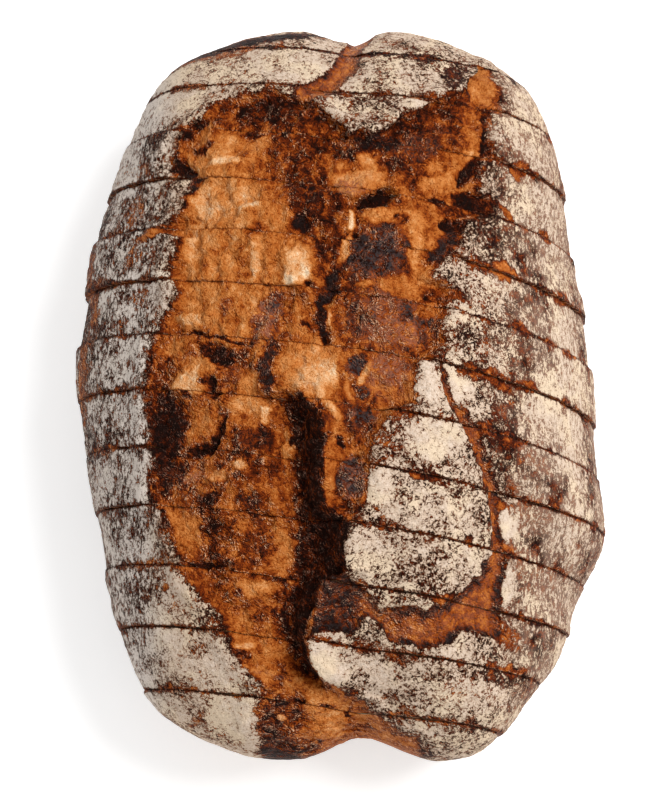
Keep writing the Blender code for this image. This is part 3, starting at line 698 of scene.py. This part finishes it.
def score_tone(at):
    """The tone of the bare scores."""
    x, y, ragged = at.x, at.y, at.ragged
    dark_width = SCORE_DARK_WIDTH + BAND_DARK_WIDER * (y < BAND_Y)
    lighter = smooth((at.into_scores + SCORE_SHAKEN * ragged) / dark_width)
    tone = SCORE_EDGE_TONE - SCORE_LIGHTER * lighter + SCORE_STRANDS * at.strands
    from_island = np.maximum(x - line_at(SCORE_INNER, y), line_at(BAND_FAR, x) - y)
    from_island += BORDER_RAGGED * ragged
    border = smooth(BORDER_SHARE - from_island / BORDER_WIDTH)
    border *= rise(x, BORDER_X) * rise(y, BORDER_Y)
    tone = toward(tone, BORDER_TONE, border)
    left_end = rise(x - BAND_LEFT_BROAD * at.broad, BAND_LEFT_X)
    return tone + BAND_LEFT_DARKER * left_end * (y < BAND_LEFT_Y)


def paint(at):
    """Tone, flour and sheen of the crust at each point, from 0 to 1: the sheen is painted and also
    makes it glossier, and the tone holds painted shade in places.
    """
    z, from_cut, ragged = at.z, at.from_cut, at.ragged
    left_side = rise(at.x, LEFT_SIDE)
    burst = at.burst * (at.top > BURST_TOP)
    tone, sheen = burst_paint(at)
    flour, under = flour_paint(at, left_side)

    scored = smooth(0.5 + (at.into_scores + SCORE_RAGGED * ragged) / SCORE_FADE) * at.top
    only_scored = scored * (1 - burst)
    tone = toward(tone, score_tone(at), only_scored)
    sheen = toward(sheen, SCORE_SHEEN, only_scored)
    bare = np.maximum(burst, scored)

    wider = smooth(MARGIN_SHARE + MARGIN_VARIES * cloud(at.p, *CUT_MARGINS)) ** 2
    margin = MARGIN + (MARGIN_WIDER + MARGIN_RIGHT * (at.x > MARGIN_RIGHT_X)) * wider
    at_cut = smooth(MARGIN_REACH - from_cut / margin)
    cut_tone = CUT_TONE + CUT_LEFT * left_side + CUT_FAR_END * rise(at.y, FAR_END)
    under = toward(under, cut_tone + CUT_RAGGED * ragged, at_cut)
    flour *= (1 - MARGIN_LESS * at_cut) * (1 - bare)
    tone = toward(under, tone, bare)
    # painted shade of the gap between slices, right at the cut's edge
    edge = smooth(CUT_EDGE_REACH - from_cut / CUT_EDGE_WIDTH)
    tone = toward(tone, CUT_EDGE_TONE, edge * (CUT_EDGE_FLOURED - CUT_EDGE_BARE * bare))

    flour *= 1 - LOW_LESS * rise(z, LOW)
    flour = np.where(z < UNDERSIDE, UNDERSIDE_FLOUR, flour)
    return np.stack([np.clip(v, 0, 1) for v in (tone, flour, sheen * bare)], -1)


# ---- meshes
CRUST_THICKNESS = 2.2
UNDER_CRUST_PAINT = (0.66, 0, 0)
LEAST_RAY = 10
FACE_SLOT = 1  # the crumb's place among a piece's materials, after the crust
# Rays round a cut: dense over the top, where the crust shows, and sparse underneath
TOP_TURNS = np.linspace(0, math.pi, TOP_COLUMNS, endpoint=False)
UNDER_TURNS = math.pi + np.linspace(0, math.pi, UNDER_COLUMNS, endpoint=False)
TURNS = np.concatenate([TOP_TURNS, UNDER_TURNS])[None, :]
RIGHT, UP = np.cos(TURNS), np.sin(TURNS)


def crust(cut, right, up, out, from_cut, facing, slip):
    """Points of the finished crust along rays from the middle of a cut, and their paint.

    facing is +1 where the nearest cut face looks to the far end, -1 where it looks to the near one.
    """
    share = crust_share(cut, right, up, out)
    x, y, z = ray_points(cut, right, up, out, share)
    at = Place(np.stack([x, y, z], -1), from_cut)
    length = np.hypot(np.hypot(x - RIDGE_X, z - BELLY_HEIGHT), y - cut_y(cut, x))
    share = share * (1 + relief(at) / np.maximum(length, LEAST_RAY))
    x, y, z = ray_points(cut, right, up, out, share)
    y = y + facing * edge_shift(at) * np.exp(-from_cut / EDGE_REACH)
    x = x + slip - LOAF_MIDDLE[0]
    y = y - slip * CUT_TURN - LOAF_MIDDLE[1]
    return np.stack([x, y, np.maximum(z, 0)], -1), paint(at)


def grid_faces(rings, columns):
    """Quads between closed rings of points, as vertex numbers."""
    ring = np.arange(rings - 1)[:, None] * columns
    column = np.arange(columns)[None, :]
    after = (column + 1) % columns
    quads = [ring + column, ring + after, ring + columns + after, ring + columns + column]
    return np.stack(quads, -1).reshape(-1, 4)


def mesh_object(name, points, colours, quads, fans):
    """A closed mesh of quads and fans. A fan is its centre, its ring and its material's number."""
    triangles = []
    numbers = [np.zeros(len(quads), int)]
    for centre, ring, number in fans:
        triangles.append(np.stack([np.full(len(ring), centre), ring, np.roll(ring, -1)], -1))
        numbers.append(np.full(len(ring), number))
    triangles = np.concatenate(triangles)
    numbers = np.concatenate(numbers)
    loops = np.concatenate([quads.ravel(), triangles.ravel()]).astype(np.int32)
    sizes = np.concatenate([np.full(len(quads), 4), np.full(len(triangles), 3)])
    starts = np.concatenate([[0], np.cumsum(sizes)[:-1]]).astype(np.int32)
    rgba = np.c_[colours, np.ones(len(colours))]
    mesh = bpy.data.meshes.new(name)
    mesh.vertices.add(len(points))
    mesh.vertices.foreach_set("co", (points * MM).astype(np.float32).ravel())
    mesh.loops.add(len(loops))
    mesh.loops.foreach_set("vertex_index", loops)
    mesh.polygons.add(len(sizes))
    mesh.polygons.foreach_set("loop_start", starts)
    mesh.polygons.foreach_set("material_index", numbers.astype(np.int32))
    mesh.polygons.foreach_set("use_smooth", numbers == 0)
    mesh.update(calc_edges=True)
    layer = mesh.attributes.new("paint", "FLOAT_COLOR", "POINT")
    layer.data.foreach_set("color", rgba.astype(np.float32).ravel())
    piece = bpy.data.objects.new(name, mesh)
    bpy.context.scene.collection.objects.link(piece)
    return piece


def cut_face(ring):
    """A cut face's points and paint inside its ring: an inner ring under the crust, the middle."""
    middle = ring.mean(axis=0)
    inward = middle - ring
    inner = ring + inward * (CRUST_THICKNESS / np.linalg.norm(inward, axis=1))[:, None]
    colours = np.tile(UNDER_CRUST_PAINT, (len(ring) + 1, 1))
    return np.concatenate([inner, middle[None, :]]), colours


def slice_piece(number):
    """One slice, counted from the far end."""
    rows = np.linspace(HALF_GAP, 1 - HALF_GAP, ROWS)[:, None]
    even = np.ones((ROWS, 1))
    cut = (number - 1 + rows) * np.ones_like(RIGHT)
    from_cut = SLICE_PITCH * np.minimum(rows, 1 - rows)
    facing = np.where(rows < 0.5, 1, -1)
    out = np.zeros_like(cut)
    over = crust(cut, RIGHT * even, UP * even, out, from_cut, facing, SLIPS[number])
    # from the far cut's inner ring over the crust to the near cut's inner ring, then both middles
    layers = []
    for layer, far, near in zip(over, cut_face(over[0][0]), cut_face(over[0][-1])):
        parts = [far[:-1], layer.reshape(-1, 3), near[:-1], far[-1:], near[-1:]]
        layers.append(np.concatenate(parts))
    first = np.arange(COLUMNS)
    last = (ROWS + 1) * COLUMNS + first[::-1]
    count = (ROWS + 2) * COLUMNS
    quads = grid_faces(ROWS + 2, COLUMNS)[:, ::-1]
    fans = [(count, first, FACE_SLOT), (count + 1, last, FACE_SLOT)]
    return mesh_object(f"crust_slice_{number:02d}", *layers, quads, fans)


def heel_piece(name, cut, side, slip):
    """The end beyond a cut, which lies towards side (+1 far, -1 near)."""
    turn = np.linspace(0, 0.5 * math.pi, HEEL_RINGS + 1)[:-1, None]
    right, up = np.cos(turn) * RIGHT, np.cos(turn) * UP
    cut = cut - side * HALF_GAP
    out = side * np.sin(turn) * np.ones_like(RIGHT)
    from_cut = (HALF_LENGTH - FIRST_CUT_Y) * np.abs(out)
    over = crust(cut, right, up, out, from_cut, -side, slip)
    pole = np.zeros((1, 1))
    tip = crust(cut, pole, pole, pole + side, pole + HALF_LENGTH, -side, slip)
    # from the cut's inner ring over the crust, then the cut's middle and the tip
    layers = []
    for layer, face, end in zip(over, cut_face(over[0][0]), tip):
        layers.append(np.concatenate([face[:-1], layer.reshape(-1, 3), face[-1:], end[0]]))
    first = np.arange(COLUMNS)
    last = HEEL_RINGS * COLUMNS + first
    count = (HEEL_RINGS + 1) * COLUMNS
    quads = grid_faces(HEEL_RINGS + 1, COLUMNS)
    if side > 0:
        first = first[::-1]
    else:
        last = last[::-1]
        quads = quads[:, ::-1]
    fans = [(count, first, FACE_SLOT), (count + 1, last, 0)]
    return mesh_object(name, *layers, quads, fans)


# ---- materials
def linear(red, green, blue):
    """A colour given as it looks, 0 to 255, in the renderer's linear light."""
    out = []
    for value in (red, green, blue):
        value = value / 255
        out.append(value / 12.92 if value <= 0.04045 else ((value + 0.055) / 1.055) ** 2.4)
    return (*out, 1)


# The bare crust's colours, from cream to char
TONES = (
    (0.00, (240, 212, 176)),
    (0.14, (226, 172, 122)),
    (0.3, (205, 131, 69)),
    (0.45, (174, 96, 37)),
    (0.57, (138, 61, 13)),
    (0.68, (100, 36, 6)),
    (0.8, (62, 20, 3)),
    (0.92, (38, 10, 3)),
    (1.00, (22, 7, 3)),
)
FLOUR = linear(206, 182, 160)
FLOUR_THICK = linear(223, 203, 185)
FLOUR_THIN = linear(150, 110, 80)
FLOUR_CREAM = linear(230, 206, 173)
# Flour in painted shade, greyer, for the left flank that faces away from the light
SHADED = linear(219, 208, 199)
SHADED_THIN = linear(112, 92, 79)
FLOUR_FILM = linear(146, 119, 103)
# Colours of painted light: sheen on blisters and on char, then glints
PAINTED_SHEEN_MAUVE = linear(158, 100, 76)
PAINTED_SHEEN_GREY = linear(72, 63, 63)
GLINT = linear(246, 198, 158)
GLINT_DARK = linear(164, 124, 106)
CRUMB = linear(226, 205, 168)
PAINTED_PORE_SHADE = linear(176, 146, 104)

# Grains of noise: size in millimetres, detail, roughness and distortion
MOTTLE = (3.4, 3, 0.62, 0.6)
MIDDLING = (1.25, 2, 0.6, 1)
FINE = (0.5, 1.5, 0.55, 0.6)
PORES = (0.6, 1.5, 0.6, 0)
PATCHES = (2, 2, 0.7, 0.4)
ROUND_SPECKS = (1.05, 3.5, 0.7, 0.7)
LONG_SPECKS = (0.8, 3.5, 0.74, 0.5)
CRACKS = (2.6, 3, 0.66, 1.2)
SMALL_CRACKS = (1.2, 2, 0.6, 0.8)
CREAMY = (11, 2, 0.6, 0)
CRUMB_HOLES = (4, 4, 0.6, 0.6)
# The specks on the flanks are drawn out along y and z
DRAWN_OUT = (1, 0.38, 0.7)
CRACK_WIDTH, SMALL_CRACK_WIDTH = 0.05, 0.065

# Soft steps: where a value starts and ends, and how high the step rises
FLANK_STEP = (36 * MM, 60 * MM)
LEFT_STEP = (-44 * MM, -58 * MM, 0.85)
PORE = (0.42, 0.33)
LIVELY = (0.36, 0.74, 0.55)
CHAR_STEP = (0.72, 0.95)
SHINE_GRAIN = (0.4, 0.6)
SHINE = (0.2, 0.9)
GLINT_COLOUR = (0.6, 0.95)
PATCH = (0.44, 0.6)
SHINY_PATCH = (0.3, 0.8)
GLINT_FACING = (0.08, 0.2)
GLINT_GRAIN = (0.47, 0.58)
GLINT_TONE = (0.36, 0.62)
GLINT_CHAR = (0.8, 1, 0.6)
FILM = (0.25, 0.6, 0.7)
COVER = (-0.035, 0.03)
FLOURED = (0.03, 0.12)
DUST = (0, 0.08)
THICK_DUST = (0.09, 0.3)
CREAMY_STEP = (0.46, 0.62, 0.6)
CREAMY_COVER = (0.02, 0.1)
SHADED_STEP = (0, 0.12)
CRUMB_STEP = (0.42, 0.56)

SKIN_MOTTLE, SKIN_MIDDLING, SKIN_FINE = 3, 1.1, 0.6
# The side that the painted shade, light and glints are lit from
LIT_SIDE = (0.5, 0.18, 0.85)
TONE_MOTTLE, TONE_MIDDLING, TONE_PAINTED_LIGHT = 1.05, 0.74, -0.42
LEAST_LIVELY = 0.45
PORE_TONE = 0.14
SHINE_SHARE, GLINT_SHARE = 0.62, 0.85
SPECK_SPREAD, MOTTLE_SPREAD, THICKNESS = 0.8, 0.25, 0.532
SMALL_CRACK_SHARE, CRACK_THINNING = 0.6, -0.105
FLOUR_NEED, FLOUR_NEED_LESS = 0.66, -0.34
ROUGHNESS, SHEEN_ROUGHNESS, FLOUR_ROUGHNESS = 0.56, -0.22, 0.36
FLOUR_HEIGHT = 0.3
SPECULAR = 0.04
CRUMB_ROUGHNESS = 0.9
# Bumps: height in millimetres and strength
SKIN_BUMP = (0.6, 1)
CRUST_BUMP = (0.55, 0.9)
CRUMB_BUMP = (1.2, 0.5)


class Nodes:
    """A new material, with shader nodes that are added and linked by their inputs."""

    def __init__(self, name):
        self.material = bpy.data.materials.new(name)
        self.material.use_nodes = True
        self.tree = self.material.node_tree
        self.shader = self.tree.nodes["Principled BSDF"]

    def add(self, kind, inputs, **settings):
        made = self.tree.nodes.new("ShaderNode" + kind)
        for key, value in settings.items():
            setattr(made, key, value)
        self.feed(made, inputs)
        return made

    def feed(self, made, inputs):
        for key, value in inputs.items():
            if isinstance(value, bpy.types.NodeSocket):
                self.tree.links.new(value, made.inputs[key])
            else:
                made.inputs[key].default_value = value

    def maths(self, operation, *values):
        made = self.add("Math", dict(enumerate(values)), operation=operation)
        return made.outputs[0]

    def product(self, *values):
        result = values[0]
        for value in values[1:]:
            result = self.maths("MULTIPLY", result, value)
        return result

    def vectors(self, operation, first, second, output="Vector"):
        made = self.add("VectorMath", {0: first, 1: second}, operation=operation)
        return made.outputs[output]

    def step(self, value, start, end, top=1):
        inputs = {"Value": value, "From Min": start, "From Max": end, "To Min": 0, "To Max": top}
        return self.add("MapRange", inputs, interpolation_type="SMOOTHSTEP").outputs[0]

    def mix(self, share, first, second):
        made = self.add("Mix", {0: share, 6: first, 7: second}, data_type="RGBA")
        return made.outputs[2]

    def grain(self, vector, size, *rest):
        inputs = {"Vector": vector, "Scale": 1 / (size * MM)}
        inputs.update(zip(("Detail", "Roughness", "Distortion"), rest))
        return self.add("TexNoise", inputs).outputs["Fac"]

    def bump(self, height, distance, strength):
        inputs = {"Height": height, "Distance": distance * MM, "Strength": strength}
        return self.add("Bump", inputs).outputs[0]

    def spread(self, noise, amount):
        """A noise centred on zero."""
        return self.product(self.maths("SUBTRACT", noise, 0.5), amount)

    def thin_lines(self, noise, width):
        """1 on the thin curling lines where a noise crosses its middle, 0 beside them."""
        return self.step(self.maths("ABSOLUTE", self.maths("SUBTRACT", noise, 0.5)), width, 0)


def tone_ramp(nodes, value):
    ramp = nodes.add("ValToRGB", {0: value})
    elements = ramp.color_ramp.elements
    while len(elements) < len(TONES):
        elements.new(0.5)
    for element, (position, colour) in zip(elements, TONES):
        element.position = position
        element.color = linear(*colour)
    return ramp.outputs[0]


def crust_material(name):
    nodes = Nodes(name)
    maths, step, mix, product = nodes.maths, nodes.step, nodes.mix, nodes.product
    grain, spread, thin_lines = nodes.grain, nodes.spread, nodes.thin_lines
    painted = nodes.add("Attribute", {}, attribute_name="paint", attribute_type="GEOMETRY")
    parts = nodes.add("SeparateColor", {"Color": painted.outputs["Color"]})
    tone, flour, sheen = parts.outputs
    place = nodes.add("TexCoord", {}).outputs["Object"]
    across = nodes.add("SeparateXYZ", {0: place}).outputs[0]

    # the skin's own small relief, and how far it faces the lit side, which paints shade and light
    # onto it
    mottle = grain(place, *MOTTLE)
    middling = grain(place, *MIDDLING)
    fine = grain(place, *FINE)
    skin = maths("MULTIPLY_ADD", middling, SKIN_MIDDLING, product(fine, SKIN_FINE))
    skin = maths("MULTIPLY_ADD", mottle, SKIN_MOTTLE, skin)
    skin = nodes.bump(skin, *SKIN_BUMP)
    plain = nodes.add("NewGeometry", {}).outputs["Normal"]
    tilt = nodes.vectors("SUBTRACT", skin, plain)
    painted_light_facing = nodes.vectors("DOT_PRODUCT", tilt, LIT_SIDE, "Value")

    # the bare crust's tones, livelier where it is brown, with painted shade on slopes turned from
    # the lit side and painted light on slopes turned to it
    spots_and_painted_light = maths("ADD", spread(mottle, TONE_MOTTLE), spread(middling, TONE_MIDDLING))
    # painted shade and light: the skin is darker where it faces away from the lit side, lighter
    # where it faces it
    spots_and_painted_light = maths("MULTIPLY_ADD", painted_light_facing, TONE_PAINTED_LIGHT, spots_and_painted_light)
    lively = maths("ADD", step(tone, *LIVELY), LEAST_LIVELY)
    tone_with_painted_light = maths("MULTIPLY_ADD", spots_and_painted_light, lively, tone)
    # painted shade in small pores of the crust
    pores = step(grain(place, *PORES), *PORE)
    tone_with_painted_light = maths("MULTIPLY_ADD", pores, PORE_TONE, tone_with_painted_light)
    bare = tone_ramp(nodes, tone_with_painted_light)

    # painted mauve-grey sheen on blisters and on char, and painted glints on skin slopes that face
    # the lit side
    shine = mix(step(tone_with_painted_light, *CHAR_STEP), PAINTED_SHEEN_MAUVE, PAINTED_SHEEN_GREY)
    shiny = product(step(middling, *SHINE_GRAIN), SHINE_SHARE, step(sheen, *SHINE))
    bare = mix(shiny, bare, shine)
    sparkle = mix(step(tone, *GLINT_COLOUR), GLINT, GLINT_DARK)
    patches = step(grain(place, *PATCHES), *PATCH)
    patches = maths("MAXIMUM", patches, step(sheen, *SHINY_PATCH))
    # painted glints: pale specks where the skin faces the lit side, in patches and more where there
    # is sheen
    glint = product(step(painted_light_facing, *GLINT_FACING), patches, step(fine, *GLINT_GRAIN))
    glint = product(glint, step(tone, *GLINT_TONE))
    glint = product(glint, maths("SUBTRACT", GLINT_SHARE, step(tone, *GLINT_CHAR)))
    bare = mix(glint, bare, sparkle)
    film = product(step(across, *FLANK_STEP), step(flour, *FILM))
    bare = mix(film, bare, FLOUR_FILM)

    # the flour: specks broken by cracks, covering more of the crust where it is thicker, and greyer
    # in painted shade on the left flank
    on_flank = step(maths("ABSOLUTE", across), *FLANK_STEP)
    round_specks = grain(place, *ROUND_SPECKS)
    long_specks = grain(nodes.vectors("MULTIPLY", place, DRAWN_OUT), *LONG_SPECKS)
    inputs = {0: on_flank, 2: round_specks, 3: long_specks}
    specks = nodes.add("Mix", inputs, data_type="FLOAT").outputs[0]
    cracks = thin_lines(grain(place, *CRACKS), CRACK_WIDTH)
    small_cracks = thin_lines(grain(place, *SMALL_CRACKS), SMALL_CRACK_WIDTH)
    cracks = maths("MULTIPLY_ADD", small_cracks, SMALL_CRACK_SHARE, cracks)
    uneven = maths("ADD", spread(specks, SPECK_SPREAD), spread(mottle, MOTTLE_SPREAD))
    thickness = maths("ADD", uneven, THICKNESS)
    thickness = maths("MULTIPLY_ADD", cracks, CRACK_THINNING, thickness)
    needed = maths("MULTIPLY_ADD", flour, FLOUR_NEED_LESS, FLOUR_NEED)
    over = maths("SUBTRACT", thickness, needed)
    cover = product(step(over, *COVER), step(flour, *FLOURED))
    flour_and_painted_shade = mix(step(over, *DUST), FLOUR_THIN, FLOUR)
    flour_and_painted_shade = mix(step(over, *THICK_DUST), flour_and_painted_shade, FLOUR_THICK)
    creamy = step(grain(place, *CREAMY), *CREAMY_STEP)
    flour_and_painted_shade = mix(product(creamy, step(over, *CREAMY_COVER)), flour_and_painted_shade, FLOUR_CREAM)
    # painted shade: on the left flank the flour takes greyer shaded colours
    painted_shade_flour = mix(step(over, *SHADED_STEP), SHADED_THIN, SHADED)
    flour_and_painted_shade = mix(step(across, *LEFT_STEP), flour_and_painted_shade, painted_shade_flour)

    gloss = maths("MULTIPLY_ADD", sheen, SHEEN_ROUGHNESS, ROUGHNESS)
    roughness = maths("ADD", gloss, product(cover, FLOUR_ROUGHNESS))
    height = maths("MULTIPLY_ADD", cover, FLOUR_HEIGHT, maths("ADD", middling, fine))
    bumpy = nodes.bump(height, *CRUST_BUMP)
    colour = mix(cover, bare, flour_and_painted_shade)
    looks = {"Base Color": colour, "Roughness": roughness, "Normal": bumpy}
    nodes.feed(nodes.shader, {**looks, "Specular IOR Level": SPECULAR})
    return nodes.material


def crumb_material():
    nodes = Nodes("crumb")
    place = nodes.add("TexCoord", {}).outputs["Object"]
    holes = nodes.grain(place, *CRUMB_HOLES)
    # painted shade: the crumb is darker in its holes
    colour = nodes.mix(nodes.step(holes, *CRUMB_STEP), PAINTED_PORE_SHADE, CRUMB)
    bumpy = nodes.bump(holes, *CRUMB_BUMP)
    nodes.feed(nodes.shader, {"Base Color": colour, "Roughness": CRUMB_ROUGHNESS, "Normal": bumpy})
    return nodes.material


# ---- build
crumb = crumb_material()
slice_look = crust_material("slice crust")
heel_look = crust_material("heel crust")
heel_far = heel_piece("crust_heel_far", 0, 1, SLIPS[0])
pieces = [("heel_far", "heel_crust", heel_look, heel_far)]
for number in range(1, SLICES + 1):
    pieces.append((f"slice_{number:02d}", "slice_crust", slice_look, slice_piece(number)))
heel_near = heel_piece("crust_heel_near", SLICES, -1, SLIPS[-1])
pieces.append(("heel_near", "heel_crust", heel_look, heel_near))
for node, slot, look, piece in pieces:
    piece.data.materials.append(look)
    piece.data.materials.append(crumb)
    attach(piece, "root")
    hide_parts(node)

# ---- floor, light and camera
CAMERA_TILT = 0.2356
CAMERA_DISTANCE = 678
CAMERA_TARGET = (-3.4, -5.4, 39.2)
CAMERA_LENS, SENSOR_WIDTH = 105.28, 36
CLIP = (0.01, 50)
KEY_PLACE = (0.57, 0.2, 0.96)
KEY_SIZE, KEY_POWER = 0.6, 10.8
WHITE = (1, 1, 1, 1)
STUDIO_STRENGTH = 0.56
FLOOR_SIZE = 6
FLOOR_COLOUR = (0.92, 0.92, 0.92, 1)
FLOOR_ROUGHNESS = 0.9
FLOOR_GLOW = 0.46

scene = bpy.context.scene
target = np.array(CAMERA_TARGET) - np.array([*LOAF_MIDDLE, 0])
back = np.array([0, -math.sin(CAMERA_TILT), math.cos(CAMERA_TILT)])
camera = bpy.data.objects.new("camera", bpy.data.cameras.new("camera"))
camera.location = (target + CAMERA_DISTANCE * back) * MM
camera.rotation_euler = (CAMERA_TILT, 0, 0)
camera.data.lens = CAMERA_LENS
camera.data.sensor_width = SENSOR_WIDTH
camera.data.clip_start, camera.data.clip_end = CLIP
scene.collection.objects.link(camera)
scene.camera = camera

key = bpy.data.objects.new("key", bpy.data.lights.new("key", "AREA"))
key.data.shape = "DISK"
key.data.size = KEY_SIZE
key.data.energy = KEY_POWER
key.location = KEY_PLACE
key.rotation_mode = "QUATERNION"
key.rotation_quaternion = (-Vector(KEY_PLACE)).to_track_quat("-Z", "Y")
scene.collection.objects.link(key)

scene.world = bpy.data.worlds.new("studio")
scene.world.use_nodes = True
studio = scene.world.node_tree.nodes["Background"]
studio.inputs["Color"].default_value = WHITE
studio.inputs["Strength"].default_value = STUDIO_STRENGTH

bpy.ops.mesh.primitive_plane_add(size=FLOOR_SIZE, location=(0, 0, 0))
floor = bpy.context.object
floor.name = "floor"
floor_look = Nodes("floor")
looks = {"Base Color": FLOOR_COLOUR, "Roughness": FLOOR_ROUGHNESS}
glow = {"Emission Color": WHITE, "Emission Strength": FLOOR_GLOW}
floor_look.feed(floor_look.shader, {**looks, **glow})
floor.data.materials.append(floor_look.material)
scene.view_settings.view_transform = "Standard"
